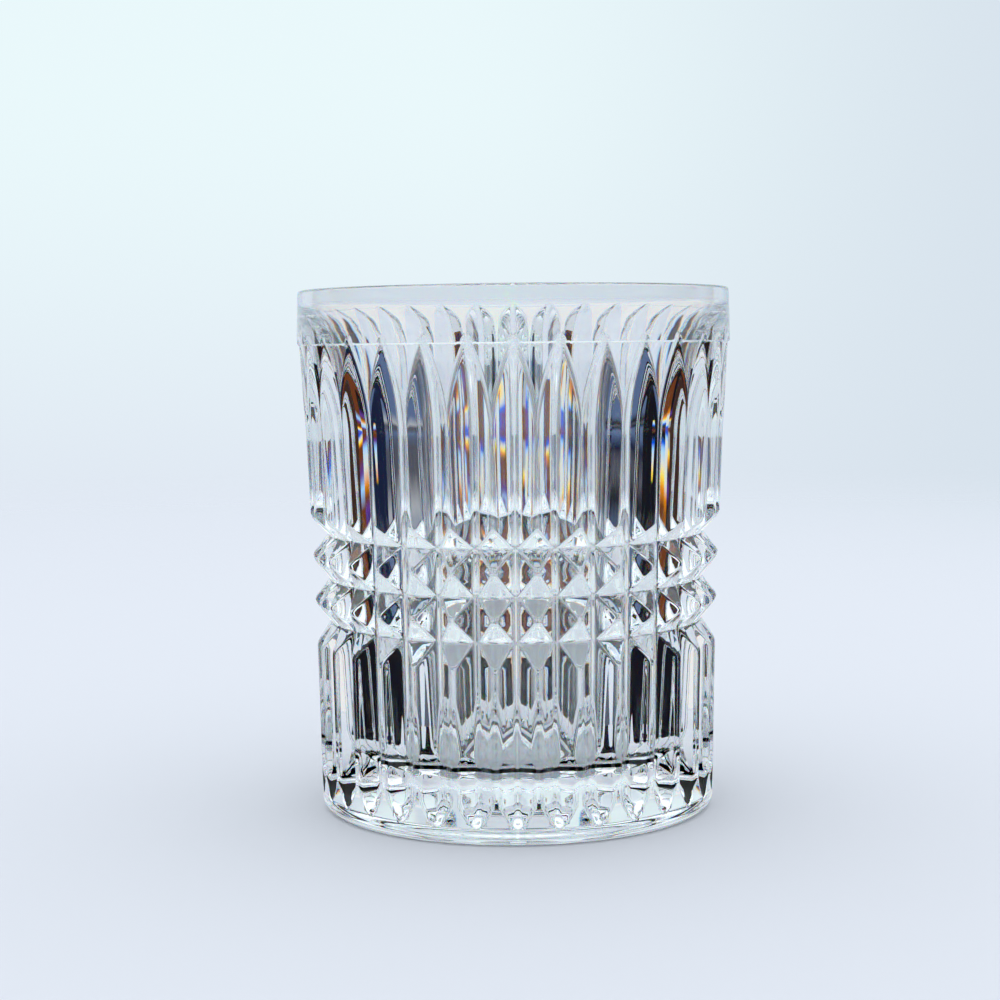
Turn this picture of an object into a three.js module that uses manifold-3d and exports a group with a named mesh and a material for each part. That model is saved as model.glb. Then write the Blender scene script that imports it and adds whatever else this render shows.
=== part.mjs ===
// Whiskey tumbler, a double old fashioned glass: one body of clear pressed crystal.
// Millimetres, +Z up, origin at the centre of the resting ring's plane.
//
// The body is a turned blank with its bowl: a plain rim band with a round lip, a ledge under the band,
// a gently flared side, a plain foot band and a shallow recess under the foot.
// Upright V grooves and three level V rings are cut into that blank. They leave long flutes above,
// two rows of four-sided pyramids round the waist, and short flutes below.

import * as THREE from "three";
import { mergeVertices } from "three/addons/utils/BufferGeometryUtils.js";
import Module from "manifold-3d";

// ---- driving dimensions ----

const HEIGHT = 103;
const GROOVES = 32; // upright grooves round the glass
const SEGMENTS = 2 * GROOVES; // a corner of the blank on every groove and on every ridge

const BAND_RADIUS = 43; // plain band under the lip
const LIP_OUTER_RADIUS = 42.75;
const LIP_INNER_RADIUS = 41.6;
const LEDGE_Z = 92.4; // lower edge of the band
const LEDGE_STEP = 0.3; // the band stands this far proud of the side
const LEDGE_FILLET = 3.2; // height of the hollow under the ledge

// Side of the blank, which is the crest of every ridge: a radius that grows with the square of the height.
const SIDE_BASE_RADIUS = 39.35;
const SIDE_SLOPE = 0.0105;
const SIDE_CURVE = 0.000265;

const FOOT_Z = 3.2; // top of the plain foot band
const FOOT_BAND_RADIUS = 39.35;
const FOOT_ROUND = 2.2; // rounding between the foot band and the resting ring
const RECESS_RADIUS = 31; // shallow recess inside the resting ring
const RECESS_SLOPE = 4; // width of its sloping edge
const RECESS_DEPTH = 1.6;

// Bowl
const FLOOR_Z = 10.4;
const FLOOR_CORNER = 6.5; // rounding between floor and wall
const WALL_FOOT_RADIUS = 32.6; // wall of the bowl just above that rounding
const WALL_TOP_RADIUS = 35.4; // wall of the bowl where it starts to open towards the lip
const WALL_TOP_Z = 76;
const FLARE_LEAN = 0.6; // the wall's lean outwards over the lower part of that opening
const FLARE_BEND_Z = 86;
const LIP_FOOT_Z = 100.2; // the opening ends here, and the wall stands upright up to the lip
const LIP_BEND_Z = 95.2;

// Upright grooves
const GROOVE_FLAT = 0.45; // half the width of the groove's flat bottom
const GROOVE_TAN = 0.97; // widening of each flank per millimetre of depth
const GROOVE_LOW_RADIUS = 36.4; // bottom of the grooves at the foot
const GROOVE_TAPER = 0.0173; // its growth per millimetre of height
const RUNOUT_TOP_Z = 74; // from here up the grooves get shallower, along an arc
const RUNOUT_TOP_ARC = 37;
const RUNOUT_FOOT_Z = 9.3; // from here down they get shallower, along a tighter arc
const RUNOUT_FOOT_ARC = 5.2;
const GROOVE_FOOT_Z = 4.1; // a groove's cutter ends inside the foot band and the rim band
const GROOVE_TOP_Z = 92.25;

// Level rings: height and radius of the sharp bottom, and how far each flank runs up or down per
// millimetre of depth.
const RINGS = [
  { z: 54.86, radius: 37.4, above: 1.0, below: 1.2 },
  { z: 45.95, radius: 37.2, above: 1.25, below: 1.2 },
  { z: 37.58, radius: 37.1, above: 1.2, below: 1.5 },
];

const OUTSIDE_RADIUS = 46; // the cutters reach out to here

// ---- turned blank ----

const sideRadius = (z) => SIDE_BASE_RADIUS + SIDE_SLOPE * z + SIDE_CURVE * z * z;

/** Evenly spaced heights, both ends included. */
function stations(from, to, steps) {
  return Array.from({ length: steps + 1 }, (_, i) => from + ((to - from) * i) / steps);
}

/** Points of an arc about (r, z), from one angle to another in degrees, both ends included. */
function arc(r, z, radius, from, to, steps) {
  return Array.from({ length: steps + 1 }, (_, i) => {
    const a = THREE.MathUtils.degToRad(from + ((to - from) * i) / steps);
    return new THREE.Vector2(r + radius * Math.cos(a), z + radius * Math.sin(a));
  });
}

/** Points of a cubic Bezier curve, its first point left out. */
function curve(a, b, c, d, steps) {
  const bezier = new THREE.CubicBezierCurve(
    new THREE.Vector2(...a), new THREE.Vector2(...b), new THREE.Vector2(...c), new THREE.Vector2(...d));
  return bezier.getPoints(steps).slice(1);
}

function underside() {
  return [
    new THREE.Vector2(0, RECESS_DEPTH),
    new THREE.Vector2(RECESS_RADIUS - RECESS_SLOPE, RECESS_DEPTH),
    new THREE.Vector2(RECESS_RADIUS, 0),
    ...arc(FOOT_BAND_RADIUS - FOOT_ROUND, FOOT_ROUND, FOOT_ROUND, -90, 0, 3),
  ];
}

function side() {
  const heights = stations(FOOT_Z, LEDGE_Z - LEDGE_FILLET, 3);
  return heights.map((z) => new THREE.Vector2(sideRadius(z), z));
}

function bandAndLip() {
  const lip = (LIP_OUTER_RADIUS - LIP_INNER_RADIUS) / 2;
  const middle = LIP_INNER_RADIUS + lip;
  return [
    new THREE.Vector2(BAND_RADIUS - LEDGE_STEP, LEDGE_Z),
    new THREE.Vector2(BAND_RADIUS, LEDGE_Z),
    ...arc(middle, HEIGHT - lip, lip, 0, 180, 4),
  ];
}

function bowl() {
  const corner = WALL_FOOT_RADIUS - FLOOR_CORNER;
  return [
    new THREE.Vector2(LIP_INNER_RADIUS, LIP_FOOT_Z),
    ...curve([LIP_INNER_RADIUS, LIP_FOOT_Z], [LIP_INNER_RADIUS, LIP_BEND_Z],
      [WALL_TOP_RADIUS + FLARE_LEAN, FLARE_BEND_Z], [WALL_TOP_RADIUS, WALL_TOP_Z], 6),
    ...arc(corner, FLOOR_Z + FLOOR_CORNER, FLOOR_CORNER, 0, -90, 4),
    new THREE.Vector2(0, FLOOR_Z),
  ];
}

// ---- cutters ----

/** Bottom of the upright grooves, with the arcs on which they run out at both ends. */
function grooveRadius(z) {
  const radius = GROOVE_LOW_RADIUS + GROOVE_TAPER * z;
  const above = Math.max(0, z - RUNOUT_TOP_Z);
  const below = Math.max(0, RUNOUT_FOOT_Z - z);
  return radius + above ** 2 / (2 * RUNOUT_TOP_ARC) + below ** 2 / (2 * RUNOUT_FOOT_ARC);
}

/** A closed solid through four-sided sections, listed from bottom to top. */
function loft(sections) {
  const position = sections.flat().flatMap((p) => [p.x, p.y, p.z]);
  const index = [0, 2, 1, 0, 3, 2];
  for (let i = 0; i + 1 < sections.length; i++) {
    for (let k = 0; k < 4; k++) {
      const a = 4 * i + k;
      const b = 4 * i + ((k + 1) % 4);
      index.push(a, b, b + 4, a, b + 4, a + 4);
    }
  }
  const top = 4 * (sections.length - 1);
  index.push(top, top + 1, top + 2, top, top + 2, top + 3);
  const geometry = new THREE.BufferGeometry();
  geometry.setAttribute("position", new THREE.Float32BufferAttribute(position, 3));
  geometry.setIndex(index);
  return geometry;
}

function grooveCutter() {
  const foot = stations(GROOVE_FOOT_Z, RUNOUT_FOOT_Z, 2);
  const top = stations(RUNOUT_TOP_Z, GROOVE_TOP_Z, 5);
  return loft([...foot, ...top].map((z) => {
    const bottom = grooveRadius(z);
    const mouth = GROOVE_FLAT + GROOVE_TAN * (OUTSIDE_RADIUS - bottom);
    return [
      new THREE.Vector3(bottom, -GROOVE_FLAT, z),
      new THREE.Vector3(OUTSIDE_RADIUS, -mouth, z),
      new THREE.Vector3(OUTSIDE_RADIUS, mouth, z),
      new THREE.Vector3(bottom, GROOVE_FLAT, z),
    ];
  }));
}

function ringCutter({ z, radius, above, below }) {
  const depth = OUTSIDE_RADIUS - radius;
  return lathe([
    new THREE.Vector2(radius, z),
    new THREE.Vector2(OUTSIDE_RADIUS, z - below * depth),
    new THREE.Vector2(OUTSIDE_RADIUS, z + above * depth),
    new THREE.Vector2(radius, z),
  ]);
}

// ---- solids ----

/** A solid of revolution about Z, from a profile listed anticlockwise. */
function lathe(profile) {
  return new THREE.LatheGeometry(profile, SEGMENTS).rotateX(Math.PI / 2);
}

const wasm = await Module();
wasm.setup();

/** A manifold-3d solid from a three.js geometry whose faces point out. */
function solid(geometry) {
  const bare = geometry.clone();
  bare.deleteAttribute("normal");
  bare.deleteAttribute("uv");
  const merged = mergeVertices(bare, 1e-4);
  return new wasm.Manifold(new wasm.Mesh({
    numProp: 3,
    vertProperties: Float32Array.from(merged.attributes.position.array),
    triVerts: Uint32Array.from(merged.index.array),
  }));
}

/** A three.js geometry from a manifold-3d solid. */
function geometryOf(manifold) {
  const mesh = manifold.getMesh();
  const geometry = new THREE.BufferGeometry();
  geometry.setAttribute("position", new THREE.BufferAttribute(mesh.vertProperties, 3));
  geometry.setIndex(new THREE.BufferAttribute(mesh.triVerts, 1));
  geometry.computeVertexNormals();
  return geometry;
}

function tumbler() {
  let body = solid(lathe([...underside(), ...side(), ...bandAndLip(), ...bowl()]));
  const cutter = grooveCutter();
  for (let i = 0; i < GROOVES; i++) {
    const angle = (i / GROOVES) * 2 * Math.PI;
    body = body.subtract(solid(cutter.clone().rotateZ(angle)));
  }
  for (const ring of RINGS) {
    body = body.subtract(solid(ringCutter(ring)));
  }
  return geometryOf(body);
}

const glass = new THREE.MeshStandardMaterial({ color: 0xe9eef0, roughness: 0.03, metalness: 0 });
const tumblerGlass = new THREE.Mesh(tumbler(), glass);
tumblerGlass.name = "tumbler_glass";

const group = new THREE.Group();
group.add(tumblerGlass);

export default group;
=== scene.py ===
"""Whiskey tumbler of clear cut crystal, standing on a pale floor in soft studio light.

The glass is one body. Its side is worked out as a radius for every angle and height: the turned side,
with upright V grooves and level V rings pressed into it and every edge slightly softened. One half of a
groove is meshed and then turned and mirrored round the glass. The lip, bowl and underside are turned
surfaces that join on to it.

Level cards lie round the glass, where the camera doesn't see them. The plain ones stand for the dark
things in a room that clear glass shows. The glowing ones are painted light, seen only in the glass: some
paint rainbow fringes in bands of colour, two paint bands of grey light, and a white one paints a bright
sheet behind the glass.
"""

import math

import bpy
import numpy as np
from mathutils import Matrix, Vector
from mathutils.geometry import delaunay_2d_cdt


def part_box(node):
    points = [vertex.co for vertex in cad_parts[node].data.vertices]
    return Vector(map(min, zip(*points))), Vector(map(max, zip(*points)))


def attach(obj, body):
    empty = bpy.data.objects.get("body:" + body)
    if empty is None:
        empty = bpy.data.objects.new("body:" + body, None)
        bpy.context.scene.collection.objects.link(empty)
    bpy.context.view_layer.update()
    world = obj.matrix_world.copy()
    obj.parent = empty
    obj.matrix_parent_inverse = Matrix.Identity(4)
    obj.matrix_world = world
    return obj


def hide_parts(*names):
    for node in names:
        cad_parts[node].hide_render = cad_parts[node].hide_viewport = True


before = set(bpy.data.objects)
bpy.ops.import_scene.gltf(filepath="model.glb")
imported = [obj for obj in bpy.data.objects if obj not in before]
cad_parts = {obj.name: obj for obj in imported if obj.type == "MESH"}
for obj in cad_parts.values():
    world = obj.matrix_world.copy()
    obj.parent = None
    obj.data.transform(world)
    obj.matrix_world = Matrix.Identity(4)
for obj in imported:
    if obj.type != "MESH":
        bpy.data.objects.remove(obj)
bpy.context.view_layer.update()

MM = 0.001

# ---- the glass, in millimetres ----

box_low, box_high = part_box("tumbler_glass")
HEIGHT = (box_high[2] - box_low[2]) / MM
BAND_RADIUS = (box_high[0] - box_low[0]) / 2 / MM
GROOVES = 32
HALF = math.pi / GROOVES  # from the middle of a groove to the top of a ridge

LIP_OUTER_RADIUS = 42.75
LIP_INNER_RADIUS = 41.6
LEDGE_Z = 92.4
LEDGE_SOFT = 0.24  # height over which the ledge steps out
FOOT_ROUND = 2.2
RECESS_RADIUS = 31
RECESS_SLOPE = 4
RECESS_DEPTH = 1.6
RECESS_ROUND = 0.8  # the resting ring starts to curve up this far outside the recess
RECESS_BEND = 2.5

SIDE = (39.35, 0.0105, 0.000265)  # radius of the side as a polynomial in the height

FLOOR_Z = 10.4
FLOOR_CORNER = 6.5
WALL_FOOT_RADIUS = 32.6
WALL_TOP_RADIUS = 35.4
WALL_TOP_Z = 76
FLARE_LEAN = 0.6
FLARE_BEND_Z = 86
LIP_FOOT_Z = 100.2
LIP_BEND_Z = 95.2

GROOVE_FLAT = 0.45
GROOVE_TAN = 0.97
GROOVE_LOW_RADIUS = 36.4
GROOVE_TAPER = 0.0173
RUNOUT_TOP_Z = 74
RUNOUT_TOP_ARC = 37
RUNOUT_FOOT_Z = 9.3
RUNOUT_FOOT_ARC = 5.2

# Level rings: height and radius of the bottom, and rise and fall of the flanks per millimetre of depth.
RINGS = [(54.86, 37.4, 1.0, 1.2), (45.95, 37.2, 1.25, 1.2), (37.58, 37.1, 1.2, 1.5)]

EDGE_SOFT = 0.55  # how softly ridges and points are rounded
GROOVE_SOFT = 0.3
RING_SOFT = 0.12

SIDE_BOTTOM_Z = FOOT_ROUND  # the cut side reaches from here
SIDE_TOP_Z = 95.0  # to here, and turned surfaces carry on


def soft_min(a, b, width):
    blend = np.clip((width - np.abs(a - b)) / width, 0, None)
    return np.minimum(a, b) - blend * blend * width / 4


def soft_max(a, b, width):
    return -soft_min(-a, -b, width)


def turned_side(z):
    base, slope, curve = SIDE
    side = base + slope * z + curve * z * z
    step = np.clip((z - LEDGE_Z) / LEDGE_SOFT + 0.5, 0, 1)
    step = step * step * (3 - 2 * step)
    return side + (BAND_RADIUS - side) * step


def groove_radius(z):
    above = np.clip(z - RUNOUT_TOP_Z, 0, None)
    below = np.clip(RUNOUT_FOOT_Z - z, 0, None)
    return (GROOVE_LOW_RADIUS + GROOVE_TAPER * z
            + above ** 2 / (2 * RUNOUT_TOP_ARC) + below ** 2 / (2 * RUNOUT_FOOT_ARC))


def groove(angle, z):
    """Radius of the groove's own surface: a narrow flat bottom between two flat flanks."""
    bottom = groove_radius(z)
    flank = (GROOVE_TAN * bottom - GROOVE_FLAT) / (GROOVE_TAN * np.cos(angle) - np.sin(angle))
    return soft_max(bottom / np.cos(angle), flank, GROOVE_SOFT)


def flank_angle(radius, z):
    """Angle at which a groove's flank reaches a radius."""
    across = (GROOVE_TAN * groove_radius(z) - GROOVE_FLAT) / radius / math.hypot(GROOVE_TAN, 1)
    return np.arccos(np.clip(across, -1, 1)) - math.atan(1 / GROOVE_TAN)


def ring(z, ring_z, radius, above, below):
    rise = np.where(z > ring_z, (z - ring_z) / above, (ring_z - z) / below)
    return radius + np.sqrt(rise ** 2 + RING_SOFT ** 2)


def cut_side(angle, z):
    """Radius of the glass's side at an angle from the middle of a groove."""
    radius = soft_min(turned_side(z), groove(angle, z), EDGE_SOFT)
    for one in RINGS:
        radius = soft_min(radius, ring(z, *one), EDGE_SOFT)
    return radius


# ---- mesh of half a groove, laid out flat ----

FLAT_RADIUS = 40  # millimetres across the flat layout for a radian round the glass
POINT_GAP = 0.1  # size of the cells in which near points are looked for
LEAST_SQUARE = POINT_GAP * POINT_GAP * 0.8  # square of the least distance between two points
SNAP = 0.07  # a point this near to the middle of a groove or the top of a ridge is put on it
END_MARGIN = 0.15  # height left free beside the first and the last row
SHARP_ROWS = (0, 0.16, 0.34)  # rows of points beside an edge
SOFT_ROWS = (0, 0.18, 0.36, 0.54)
LEVEL_STEP = 1.0  # height between the points of upright edges
CLOSE_Z = RUNOUT_TOP_Z + 10  # a ridge's edge bends from here up, and is followed closely
CLOSE_HEIGHT = 0.1  # height between the places where it is worked out
CLOSE_STEP = 0.45  # distance between its points
RING_STEP = 0.5  # distance between the points of a ring's edges
RING_REACH = 4.6  # depth to which the edges between rings and grooves are looked for
FILL_STEP = 2.0  # height between the points on open flanks
FILL_RANK = 5  # they come after every edge's points
LEDGE_BELOW = 0.8  # rows of points at the ledge reach from here
LEDGE_ABOVE = 0.4  # to here
# Heights that are squeezed or stretched by a factor while the points are laid out: squeezed where the
# cuts run straight up, stretched where they run out under the rim band.
ZONES = ((8, 31, 0.3), (61, 77, 0.3), (77, 92.4, 1.5))
SQUEEZE_HEIGHTS = 929
ZONE_SOFT = 2  # millimetres over which a zone's factor sets in


def squeeze_table():
    """Heights, and how far up the layout each of them lies."""
    z = np.linspace(SIDE_BOTTOM_Z, SIDE_TOP_Z, SQUEEZE_HEIGHTS)
    pace = np.ones_like(z)
    for low, high, factor in ZONES:
        inside = np.clip(np.minimum(z - low, high - z) / ZONE_SOFT, 0, 1)
        pace += (factor - 1) * inside
    travelled = np.concatenate([[0], np.cumsum((pace[1:] + pace[:-1]) / 2 * np.diff(z))])
    return z, travelled


SQUEEZE = squeeze_table()


def squeezed(z):
    return np.interp(z, *SQUEEZE)


def unsqueezed(w):
    return np.interp(w, SQUEEZE[1], SQUEEZE[0])


def crease_lines():
    """Lines along which the side is creased: angles, heights, step between points, and rows beside it."""
    z = unsqueezed(np.arange(0, SQUEEZE[1][-1], LEVEL_STEP))
    ridge = flank_angle(turned_side(z), z)
    free = (ridge < HALF) & (z < CLOSE_Z)
    lines = [
        (0 * z, z, 0, (0,)),
        (0 * z + HALF, z, 0, SHARP_ROWS),
        (np.arcsin(GROOVE_FLAT / groove_radius(z)), z, 0, SHARP_ROWS),
        (ridge[free], z[free], 0, SOFT_ROWS),
    ]
    near_top = np.arange(CLOSE_Z, SIDE_TOP_Z, CLOSE_HEIGHT)
    ridge = flank_angle(turned_side(near_top), near_top)
    lines.append((ridge[ridge < HALF], near_top[ridge < HALF], CLOSE_STEP, SOFT_ROWS))
    for ring_z, radius, above, below in RINGS:
        across = np.linspace(0, HALF, 12)
        lines.append((across, 0 * across + ring_z, RING_STEP, SHARP_ROWS))
        for rise in (above, -below):
            depth = np.linspace(0, RING_REACH, 24)
            heights = ring_z + rise * depth
            edge = flank_angle(radius + depth, heights)
            cut = (edge > 0) & (edge < HALF) & (radius + depth < turned_side(heights))
            lines.append((edge[cut], heights[cut], RING_STEP, SHARP_ROWS))
    return lines


def resampled(x, w, step):
    """Evenly spaced points along a line, or the line's own points if the step is zero."""
    if step == 0:
        return np.stack([x, w], 1)
    along = np.concatenate([[0], np.cumsum(np.hypot(np.diff(x), np.diff(w)))])
    at = np.linspace(0, along[-1], max(2, int(round(along[-1] / step)) + 1))
    return np.stack([np.interp(at, along, x), np.interp(at, along, w)], 1)


def layout_points(width):
    """Points of the flat layout, each with its rank: the nearer to an edge, the earlier it comes."""
    points = []
    for angles, heights, step, rows in crease_lines():
        line = resampled(angles * FLAT_RADIUS, squeezed(heights), step)
        run = np.gradient(line, axis=0)
        run /= np.maximum(np.hypot(run[:, 0], run[:, 1])[:, None], 1e-9)
        beside = np.stack([-run[:, 1], run[:, 0]], 1)
        for row in rows:
            for side in ((1, -1) if row else (1,)):
                points += [(row, x, w) for x, w in line + beside * row * side]
    for x in np.linspace(0, width, 5)[1:4]:
        points += [(FILL_RANK, x, w) for w in np.arange(0, SQUEEZE[1][-1], FILL_STEP)]
    for z in np.linspace(LEDGE_Z - LEDGE_BELOW, LEDGE_Z + LEDGE_ABOVE, 11):
        points += [(0, x, float(squeezed(z))) for x in np.linspace(0, width, 8)]
    return sorted(points, key=lambda point: point[0])


def half_groove():
    """Angles, heights and triangles of one half of a groove, from its middle to a ridge."""
    width = HALF * FLAT_RADIUS
    top = SQUEEZE[1][-1]
    kept, cells = [], {}

    def keep(x, w):
        column, line = int(x // POINT_GAP), int(w // POINT_GAP)
        near = [q for i in (-1, 0, 1) for j in (-1, 0, 1) for q in cells.get((column + i, line + j), ())]
        if all((x - u) ** 2 + (w - v) ** 2 >= LEAST_SQUARE for u, v in near):
            cells.setdefault((column, line), []).append((x, w))
            kept.append((x, w))

    for x in np.linspace(0, width, 3):
        kept += [(x, 0.0), (x, top)]
    for _, x, w in layout_points(width):
        if x < SNAP:
            x = 0.0
        if x > width - SNAP:
            x = width
        if END_MARGIN < w < top - END_MARGIN and 0 <= x <= width:
            keep(x, w)
    found, _, triangles = delaunay_2d_cdt([Vector(p) for p in kept], [], [], 0, 1e-5)[:3]
    found = np.array([tuple(v) for v in found])
    triangles = np.array(triangles)
    corner = found[triangles]
    one, two = corner[:, 1] - corner[:, 0], corner[:, 2] - corner[:, 0]
    turned = one[:, 0] * two[:, 1] - one[:, 1] * two[:, 0] < 0
    triangles = np.where(turned[:, None], triangles[:, ::-1], triangles)
    return found[:, 0] / FLAT_RADIUS, unsqueezed(found[:, 1]), triangles


# ---- turned profiles ----


def arc(radius, z, size, start, end, steps):
    angles = np.radians(np.linspace(start, end, steps + 1))
    return [(radius + size * math.cos(a), z + size * math.sin(a)) for a in angles]


def bezier(a, b, c, d, steps):
    a, b, c, d = (np.array(point, dtype=float) for point in (a, b, c, d))
    t = np.linspace(0, 1, steps + 1)[1:, None]
    curve = (1 - t) ** 3 * a + 3 * (1 - t) ** 2 * t * b + 3 * (1 - t) * t * t * c + t ** 3 * d
    return [tuple(point) for point in curve]


def straight(a, b, steps):
    """Points on the way from a to b, without a and b."""
    return [(a[0] + (b[0] - a[0]) * i / steps, a[1] + (b[1] - a[1]) * i / steps) for i in range(1, steps)]


def bowl_profile():
    """From the top of the cut side over the lip and down to the middle of the bowl's floor."""
    lip = (LIP_OUTER_RADIUS - LIP_INNER_RADIUS) / 2
    lip_z = HEIGHT - lip
    start = (float(cut_side(0.0, SIDE_TOP_Z)), SIDE_TOP_Z)
    band_top = (LIP_OUTER_RADIUS, lip_z)
    corner_radius = WALL_FOOT_RADIUS - FLOOR_CORNER
    corner_z = FLOOR_Z + FLOOR_CORNER
    return [
        start,
        *straight(start, band_top, 5),
        *arc(LIP_INNER_RADIUS + lip, lip_z, lip, 0, 180, 10),
        (LIP_INNER_RADIUS, LIP_FOOT_Z),
        *bezier((LIP_INNER_RADIUS, LIP_FOOT_Z), (LIP_INNER_RADIUS, LIP_BEND_Z),
                (WALL_TOP_RADIUS + FLARE_LEAN, FLARE_BEND_Z), (WALL_TOP_RADIUS, WALL_TOP_Z), 16),
        *straight((WALL_TOP_RADIUS, WALL_TOP_Z), (WALL_FOOT_RADIUS, corner_z), 6),
        *arc(corner_radius, corner_z, FLOOR_CORNER, 0, -90, 12),
        *straight((corner_radius, FLOOR_Z), (0, FLOOR_Z), 4),
    ]


def foot_profile():
    """From the bottom of the cut side round the foot to the middle of the underside."""
    foot_radius = float(cut_side(0.0, SIDE_BOTTOM_Z))
    inner = RECESS_RADIUS - RECESS_SLOPE
    return [
        *arc(foot_radius - FOOT_ROUND, FOOT_ROUND, FOOT_ROUND, 0, -90, 8),
        (RECESS_RADIUS + RECESS_ROUND, 0),
        *bezier((RECESS_RADIUS + RECESS_ROUND, 0), (RECESS_RADIUS, 0),
                (inner + RECESS_BEND, RECESS_DEPTH), (inner, RECESS_DEPTH), 8),
        *straight((inner, RECESS_DEPTH), (0, RECESS_DEPTH), 4),
    ]


def turned(profile, angles, outwards):
    """Points, normals and faces of a profile turned about Z, ending in one point on the axis."""
    profile = np.array(profile, dtype=float)
    run = np.gradient(profile, axis=0)
    normal = np.stack([run[:, 1], -run[:, 0]], 1) * outwards
    normal /= np.linalg.norm(normal, axis=1)[:, None]
    round_about = np.stack([np.cos(angles), np.sin(angles)], 1)
    points, normals, faces = [], [], []
    count = len(angles)
    for (radius, z), (out, up) in zip(profile, normal):
        points.append(np.column_stack([round_about * radius, np.full(count, z)]))
        normals.append(np.column_stack([round_about * out, np.full(count, up)]))
    points.append([[0, 0, profile[-1][1]]])
    normals.append([[0, 0, math.copysign(1, normal[-1][1])]])
    following = (np.arange(count) + 1) % count
    for i in range(len(profile) - 1):
        low, high = i * count, (i + 1) * count
        faces += [(low + j, low + k, high + k, high + j) for j, k in enumerate(following)]
    low = (len(profile) - 1) * count
    faces += [(low + j, low + k, low + count) for j, k in enumerate(following)]
    if outwards < 0:
        faces = [face[::-1] for face in faces]
    return np.concatenate(points), np.concatenate(normals), faces


def cut_side_mesh():
    """Points, normals and faces of the whole cut side."""
    angle, z, triangles = half_groove()
    radius = cut_side(angle, z)
    small = 1e-4
    per_angle = (cut_side(angle + small, z) - cut_side(angle - small, z)) / (2 * small)
    per_height = (cut_side(angle, z + small) - cut_side(angle, z - small)) / (2 * small)
    per_angle[(angle < 1e-9) | (angle > HALF - 1e-9)] = 0
    points, normals, faces = [], [], []
    for k in range(2 * GROOVES):
        mirror = 1 if k % 2 == 0 else -1
        turn = (k + (k % 2)) * HALF + mirror * angle
        away = np.column_stack([np.cos(turn), np.sin(turn), 0 * turn])
        aside = np.column_stack([-np.sin(turn), np.cos(turn), 0 * turn])
        up = np.array([0, 0, 1.0])
        normal = (away * radius[:, None] - aside * (mirror * per_angle)[:, None]
                  - up * (radius * per_height)[:, None])
        points.append(away * radius[:, None] + up * z[:, None])
        normals.append(normal / np.linalg.norm(normal, axis=1)[:, None])
        faces.append((triangles if mirror > 0 else triangles[:, ::-1]) + k * len(angle))
    return np.concatenate(points), np.concatenate(normals), np.concatenate(faces).tolist()


def glass_mesh(name):
    angles = np.arange(4 * GROOVES) * HALF / 2
    parts = [cut_side_mesh(), turned(bowl_profile(), angles, 1), turned(foot_profile(), angles, -1)]
    offsets = np.cumsum([0] + [len(points) for points, _, _ in parts])
    points = np.concatenate([points for points, _, _ in parts])
    normals = np.concatenate([normals for _, normals, _ in parts])
    places = np.round(points * 1e3).astype(np.int64)
    _, first, merged = np.unique(places, axis=0, return_index=True, return_inverse=True)
    merged = merged.reshape(-1)
    faces = []
    for (_, _, own), offset in zip(parts, offsets):
        for face in own:
            corners = [int(merged[i + offset]) for i in face]
            if len(set(corners)) == len(corners):
                faces.append(corners)
    mesh = bpy.data.meshes.new(name)
    mesh.from_pydata((points[first] * MM).tolist(), [], faces)
    mesh.validate()
    mesh.shade_smooth()
    mesh.normals_split_custom_set_from_vertices(normals[first].tolist())
    return mesh


# ---- materials ----

CRYSTAL_IOR = 1.55
DISPERSION = 0.005  # red and violet lie this far to either side
CLEAR = (0.985, 0.993, 0.996)
# Bands of light from red to violet. Together they average to white.
SPECTRUM = ((2.4, 0, 0), (1.9, 0.9, 0), (0.5, 2.6, 0.2), (0, 1.3, 1.6), (0.2, 0.2, 3.2))
WAVE_SCALE = 90  # slow unevenness of the pressed surface
WAVE_STRENGTH = 0.25
WAVE_HEIGHT = 0.00004  # metres
SMEAR_SCALE = 160  # where the polish is a little dull
SMEAR_START = 0.45
SMEAR_FULL = 0.75
SMEAR_ROUGHNESS = 0.035


def new_material(name):
    material = bpy.data.materials.new(name)
    material.use_nodes = True
    material.node_tree.nodes.clear()
    return material, material.node_tree.nodes, material.node_tree.links


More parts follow.
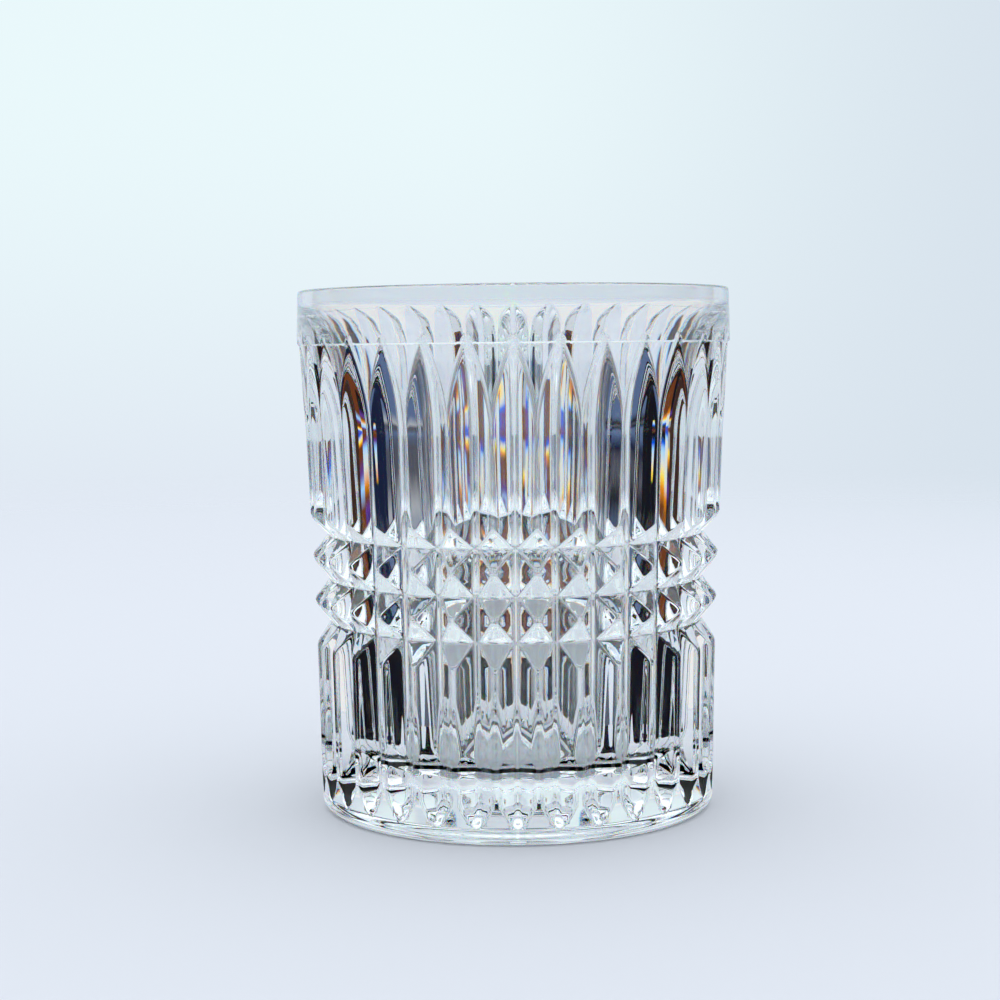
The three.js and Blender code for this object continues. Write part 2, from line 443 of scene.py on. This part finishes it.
def crystal_material():
    """Clear crystal. Where a line of sight enters it, red to violet are bent by different amounts."""
    material, nodes, links = new_material("clear_crystal")
    place = nodes.new("ShaderNodeTexCoord")
    wave = nodes.new("ShaderNodeTexNoise")
    wave.inputs["Scale"].default_value = WAVE_SCALE
    wave.inputs["Detail"].default_value = 1
    bump = nodes.new("ShaderNodeBump")
    bump.inputs["Strength"].default_value = WAVE_STRENGTH
    bump.inputs["Distance"].default_value = WAVE_HEIGHT
    smear = nodes.new("ShaderNodeTexNoise")
    smear.inputs["Scale"].default_value = SMEAR_SCALE
    smear.inputs["Detail"].default_value = 4
    polish = nodes.new("ShaderNodeMapRange")
    polish.inputs["From Min"].default_value = SMEAR_START
    polish.inputs["From Max"].default_value = SMEAR_FULL
    polish.inputs["To Min"].default_value = 0.0
    polish.inputs["To Max"].default_value = SMEAR_ROUGHNESS
    links.new(place.outputs["Object"], wave.inputs["Vector"])
    links.new(place.outputs["Object"], smear.inputs["Vector"])
    links.new(wave.outputs["Fac"], bump.inputs["Height"])
    links.new(smear.outputs["Fac"], polish.inputs["Value"])

    def clear_glass(ior, colour):
        glass = nodes.new("ShaderNodeBsdfGlass")
        glass.inputs["IOR"].default_value = ior
        glass.inputs["Color"].default_value = (*colour, 1)
        links.new(bump.outputs["Normal"], glass.inputs["Normal"])
        links.new(polish.outputs["Result"], glass.inputs["Roughness"])
        return glass.outputs["BSDF"]

    def mixed(share, one, other):
        mix = nodes.new("ShaderNodeMixShader")
        mix.inputs[0].default_value = share
        links.new(one, mix.inputs[1])
        links.new(other, mix.inputs[2])
        return mix

    spectrum = None
    for i, band in enumerate(SPECTRUM):
        bent = CRYSTAL_IOR + DISPERSION * (2 * i / (len(SPECTRUM) - 1) - 1)
        coloured = clear_glass(bent, tuple(c * clear for c, clear in zip(band, CLEAR)))
        spectrum = mixed(1 / (i + 1), spectrum, coloured).outputs[0] if spectrum else coloured
    whole = mixed(0, clear_glass(CRYSTAL_IOR, CLEAR), spectrum)
    path = nodes.new("ShaderNodeLightPath")
    links.new(path.outputs["Is Camera Ray"], whole.inputs[0])
    output = nodes.new("ShaderNodeOutputMaterial")
    links.new(whole.outputs[0], output.inputs["Surface"])
    return material


def make_glass():
    glass = bpy.data.objects.new("cut_crystal_tumbler", glass_mesh("cut_crystal_tumbler"))
    bpy.context.scene.collection.objects.link(glass)
    glass.data.materials.append(crystal_material())
    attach(glass, "root")
    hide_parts("tumbler_glass")


# ---- studio ----

LENS = 70.4
CAMERA_PLACE = (0, -0.3918, 0.09155)
YAW, PITCH, ROLL = -0.0076, 0.0779, -0.0105  # radians

FLOOR_RADIUS = 1.2
FLOOR_RINGS = 24
FLOOR_SPOKES = 96
FLOOR_FADE = (0.25, 1.1)  # distances between which the floor fades out
FLOOR_PAINT = (0.76, 0.78, 0.83)

TOP_LIGHT = (1.2, 1.25, 1.3)
BACK_HIGH_LIGHT = (0.82, 0.94, 0.965)
BACK_LOW_LIGHT = (0.73, 0.78, 0.88)
RIGHT_LIGHT = (0.68, 0.76, 0.84)
SIDE_LIGHT = (0.70, 0.73, 0.79)
FRONT_HIGH_LIGHT = (0.50, 0.53, 0.56)
FRONT_LOW_LIGHT = (0.025, 0.026, 0.03)
LIGHT_BOUNCES = 24

CARD_HEIGHT = 0.0004
CARD_NEAR = 0.2  # distances between which most cards lie
CARD_FAR = 2.6
# Glow of the white card behind the glass: painted light, lighting nothing and seen only in the glass.
PANEL_PAINTED_GLOW = 0.92

# Colours of the cards. On plain cards they are the cards' own colours; on glowing cards they are painted
# light.
BLACK = (0.004, 0.003, 0.005)
BROWN = (0.045, 0.018, 0.010)
NAVY = (0.006, 0.010, 0.035)
GREY = (0.08, 0.085, 0.11)
SMOKE = (0.10, 0.11, 0.14)
SLATE = (0.10, 0.15, 0.28)
WHITE = (1.0, 1.0, 1.0)
CREAM = (0.80, 0.82, 0.74)
PALE_GREY = (0.40, 0.42, 0.45)
YELLOW = (1.15, 0.82, 0.08)
ORANGE = (0.85, 0.27, 0.0)
RUST = (0.16, 0.04, 0.006)
SKY = (0.38, 0.70, 1.10)
BLUE = (0.0, 0.12, 0.85)
PURPLE = (0.12, 0.04, 0.32)


def make_camera():
    camera = bpy.data.cameras.new("camera")
    holder = bpy.data.objects.new("camera", camera)
    bpy.context.scene.collection.objects.link(holder)
    camera.sensor_width = 36
    camera.lens = LENS
    camera.clip_start = 0.01
    look = (Matrix.Rotation(-YAW, 4, "Z") @ Matrix.Rotation(math.pi / 2 - PITCH, 4, "X")
            @ Matrix.Rotation(ROLL, 4, "Z"))
    holder.matrix_world = Matrix.Translation(CAMERA_PLACE) @ look
    bpy.context.scene.camera = holder


def around(start, end, inner, outer):
    """Outline of a sector round the glass: degrees to the right of straight behind it, and metres."""
    steps = max(2, int(abs(end - start) / 4))
    angles = [math.radians(start + (end - start) * i / steps) for i in range(steps + 1)]
    outside = [(outer * math.sin(a), outer * math.cos(a)) for a in reversed(angles)]
    return [(inner * math.sin(a), inner * math.cos(a)) for a in angles] + outside


def card(name, outline, colour, glow=0):
    """A flat level card, in metres. It shows only through the glass or mirrored in it."""
    mesh = bpy.data.meshes.new(name)
    mesh.from_pydata([(x, y, CARD_HEIGHT) for x, y in outline], [], [tuple(range(len(outline)))])
    material, nodes, links = new_material(name)
    output = nodes.new("ShaderNodeOutputMaterial")
    # With a glow the card is painted light: it lights nothing and shows only in the glass.
    if glow:
        paint = nodes.new("ShaderNodeEmission")
        paint.inputs["Strength"].default_value = glow
    else:
        paint = nodes.new("ShaderNodeBsdfDiffuse")
    paint.inputs["Color"].default_value = (*colour, 1)
    links.new(paint.outputs[0], output.inputs["Surface"])
    mesh.materials.append(material)
    flag = bpy.data.objects.new(name, mesh)
    bpy.context.scene.collection.objects.link(flag)
    flag.visible_camera = False
    flag.visible_shadow = False
    flag.visible_diffuse = False
    return flag


def painted_glow_bands(name, outline, stops):
    """A glowing card whose colour changes with the distance from the glass. Its glow is painted light, seen
    only in the glass; where its bands run through the rainbow they paint a prism's fringes.

    Each stop is a distance in metres and the colour there.
    """
    # The card glows: its colour is painted light, lit by no lamp.
    flag = card(name, outline, WHITE, glow=1)
    nodes, links = flag.active_material.node_tree.nodes, flag.active_material.node_tree.links
    place = nodes.new("ShaderNodeTexCoord")
    length = nodes.new("ShaderNodeVectorMath")
    length.operation = "LENGTH"
    reach = nodes.new("ShaderNodeMapRange")
    near, far = stops[0][0], stops[-1][0]
    reach.inputs["From Min"].default_value = near
    reach.inputs["From Max"].default_value = far
    ramp = nodes.new("ShaderNodeValToRGB")
    elements = ramp.color_ramp.elements
    elements[0].color = (*stops[0][1], 1)
    elements[1].color = (*stops[-1][1], 1)
    for distance, colour in stops[1:-1]:
        elements.new((distance - near) / (far - near)).color = (*colour, 1)
    links.new(place.outputs["Object"], length.inputs[0])
    links.new(length.outputs["Value"], reach.inputs["Value"])
    links.new(reach.outputs["Result"], ramp.inputs["Fac"])
    links.new(ramp.outputs["Color"], nodes["Emission"].inputs["Color"])


def make_floor():
    """A pale round floor that fades out into the backdrop."""
    rings, spokes, radius = FLOOR_RINGS, FLOOR_SPOKES, FLOOR_RADIUS
    points = [(0, 0, 0)]
    faces = []
    for i in range(1, rings + 1):
        for j in range(spokes):
            a = 2 * math.pi * j / spokes
            points.append((radius * i / rings * math.cos(a), radius * i / rings * math.sin(a), 0))
    for j in range(spokes):
        faces.append((0, 1 + j, 1 + (j + 1) % spokes))
    for i in range(1, rings):
        low, high = 1 + (i - 1) * spokes, 1 + i * spokes
        for j in range(spokes):
            k = (j + 1) % spokes
            faces.append((low + j, high + j, high + k, low + k))
    mesh = bpy.data.meshes.new("floor")
    mesh.from_pydata(points, [], faces)
    material, nodes, links = new_material("pale_floor")
    output = nodes.new("ShaderNodeOutputMaterial")
    paint = nodes.new("ShaderNodeBsdfDiffuse")
    paint.inputs["Color"].default_value = (*FLOOR_PAINT, 1)
    clear = nodes.new("ShaderNodeBsdfTransparent")
    fade = nodes.new("ShaderNodeMixShader")
    place = nodes.new("ShaderNodeTexCoord")
    length = nodes.new("ShaderNodeVectorMath")
    length.operation = "LENGTH"
    reach = nodes.new("ShaderNodeMapRange")
    reach.interpolation_type = "SMOOTHSTEP"
    reach.inputs["From Min"].default_value = FLOOR_FADE[0]
    reach.inputs["From Max"].default_value = FLOOR_FADE[1]
    links.new(place.outputs["Object"], length.inputs[0])
    links.new(length.outputs["Value"], reach.inputs["Value"])
    links.new(reach.outputs["Result"], fade.inputs[0])
    links.new(paint.outputs["BSDF"], fade.inputs[1])
    links.new(clear.outputs["BSDF"], fade.inputs[2])
    links.new(fade.outputs["Shader"], output.inputs["Surface"])
    mesh.materials.append(material)
    floor = bpy.data.objects.new("floor", mesh)
    bpy.context.scene.collection.objects.link(floor)


def make_world():
    """Soft pale light, brightest from above.

    In front it is dark, except to the camera and to what is seen through the glass.
    """
    scene = bpy.context.scene
    scene.world = bpy.data.worlds.new("studio")
    scene.world.use_nodes = True
    nodes, links = scene.world.node_tree.nodes, scene.world.node_tree.links
    nodes.clear()
    output = nodes.new("ShaderNodeOutputWorld")
    sky = nodes.new("ShaderNodeBackground")
    place = nodes.new("ShaderNodeTexCoord")
    split = nodes.new("ShaderNodeSeparateXYZ")
    links.new(place.outputs["Generated"], split.inputs[0])

    def share(source, low, high):
        reach = nodes.new("ShaderNodeMapRange")
        reach.interpolation_type = "SMOOTHSTEP"
        reach.inputs["From Min"].default_value = low
        reach.inputs["From Max"].default_value = high
        links.new(source, reach.inputs["Value"])
        return reach.outputs["Result"]

    def blend(factor, first, second):
        mix = nodes.new("ShaderNodeMix")
        mix.data_type = "RGBA"
        links.new(factor, mix.inputs[0])
        for socket, colour in ((mix.inputs[6], first), (mix.inputs[7], second)):
            if isinstance(colour, tuple):
                socket.default_value = (*colour, 1)
            else:
                links.new(colour, socket)
        return mix.outputs[2]

    rise = share(split.outputs["Z"], -0.16, 0.14)
    back = blend(rise, BACK_LOW_LIGHT, BACK_HIGH_LIGHT)
    right = share(split.outputs["X"], -0.05, 0.3)
    back = blend(right, back, RIGHT_LIGHT)
    behind = share(split.outputs["Y"], 0.3, 0.93)
    beside = share(split.outputs["Y"], 0.15, 0.5)
    front = blend(share(split.outputs["Z"], 0.0, 0.14), FRONT_LOW_LIGHT, FRONT_HIGH_LIGHT)
    path = nodes.new("ShaderNodeLightPath")
    front = blend(path.outputs["Is Transmission Ray"], front, SIDE_LIGHT)
    front = blend(path.outputs["Is Camera Ray"], front, SIDE_LIGHT)
    level = blend(beside, front, blend(behind, SIDE_LIGHT, back))
    above = share(split.outputs["Z"], 0.35, 0.7)
    links.new(blend(above, level, TOP_LIGHT), sky.inputs["Color"])
    links.new(sky.outputs["Background"], output.inputs["Surface"])
    scene.view_settings.view_transform = "Standard"
    scene.cycles.max_bounces = LIGHT_BOUNCES
    scene.cycles.transmission_bounces = LIGHT_BOUNCES
    scene.cycles.glossy_bounces = LIGHT_BOUNCES


def make_cards():
    """The cards on either side of the glass and in front of it, and a glowing one behind it; the glowing
    ones are painted light.
    """
    card("right_brown", around(48, 63.5, CARD_NEAR, CARD_FAR), BROWN)
    # Glowing cards with bands of colour: painted rainbow fringes, seen only in the glass.
    painted_glow_bands("right_inner", around(63.5, 67.3, CARD_NEAR, CARD_FAR), [
        (0.44, BLACK), (0.50, PURPLE), (0.545, BLACK), (0.575, ORANGE), (0.60, YELLOW), (0.645, PALE_GREY),
        (0.90, PALE_GREY), (1.0, RUST), (2.6, BROWN)])
    painted_glow_bands("right_middle", around(67.3, 72, CARD_NEAR, CARD_FAR), [
        (0.40, RUST), (0.46, ORANGE), (0.50, CREAM), (0.68, CREAM), (0.76, SKY), (0.84, BLUE),
        (1.0, PURPLE), (1.3, RUST), (2.6, BROWN)])
    painted_glow_bands("right_outer", around(72, 77.8, CARD_NEAR, CARD_FAR), [
        (0.43, RUST), (0.48, ORANGE), (0.51, YELLOW), (0.54, CREAM), (0.59, SKY), (0.64, BLUE),
        (0.70, NAVY), (0.76, BLACK), (0.90, RUST), (2.6, BLACK)])
    card("right_black", around(77.8, 92, CARD_NEAR, CARD_FAR), BLACK)
    # Glowing card in bands of grey and slate: painted light, seen only in the glass.
    painted_glow_bands("right_grey", around(92, 118, CARD_NEAR, CARD_FAR), [
        (0.2, SLATE), (0.32, SLATE), (0.40, BLACK), (0.46, GREY), (0.52, NAVY), (0.64, SLATE), (2.6, GREY)])
    card("left_brown", around(-63.5, -48, CARD_NEAR, CARD_FAR), BROWN)
    # Glowing cards with bands of colour: painted rainbow fringes, seen only in the glass.
    painted_glow_bands("left_inner", around(-71, -63.5, CARD_NEAR, CARD_FAR), [
        (0.44, RUST), (0.50, SKY), (0.545, PURPLE), (0.59, RUST), (0.67, RUST), (0.72, ORANGE),
        (0.77, YELLOW), (0.84, CREAM), (0.95, BLUE), (1.12, PURPLE), (1.4, RUST), (2.6, BROWN)])
    painted_glow_bands("left_outer", around(-77.8, -71, CARD_NEAR, CARD_FAR), [
        (0.38, BLACK), (0.43, PURPLE), (0.46, RUST), (0.50, ORANGE), (0.545, CREAM), (0.62, SKY),
        (0.70, PURPLE), (0.76, RUST), (0.95, RUST), (2.6, BROWN)])
    card("left_navy", around(-92, -77.8, CARD_NEAR, CARD_FAR), NAVY)
    # Glowing card in bands of grey and slate: painted light, seen only in the glass.
    painted_glow_bands("left_grey", around(-118, -92, CARD_NEAR, CARD_FAR), [
        (0.2, SLATE), (0.30, SLATE), (0.39, PALE_GREY), (0.46, GREY), (0.54, GREY), (0.70, SLATE),
        (2.6, GREY)])
    mirrored = card("front", around(118, 242, 0.1, CARD_FAR), NAVY)
    mirrored.visible_transmission = False
    seen_through = card("front_through", around(118, 242, 0.1, CARD_FAR), SMOKE)
    seen_through.visible_glossy = False
    card("near_right", around(45, 105, 0.07, CARD_NEAR), BLACK)
    card("near_left", around(-105, -45, 0.07, CARD_NEAR), BLACK)
    card("front_right", around(120, 165, 0.05, 0.1), BLACK)
    card("front_left", around(-165, -120, 0.05, 0.1), BLACK)
    # A glowing white card behind the glass: a painted bright sheet, lit by no lamp.
    card("painted_glow_card_behind", around(-30, 30, 0.12, 0.4), WHITE, PANEL_PAINTED_GLOW)


make_camera()
make_glass()
make_floor()
make_world()
make_cards()
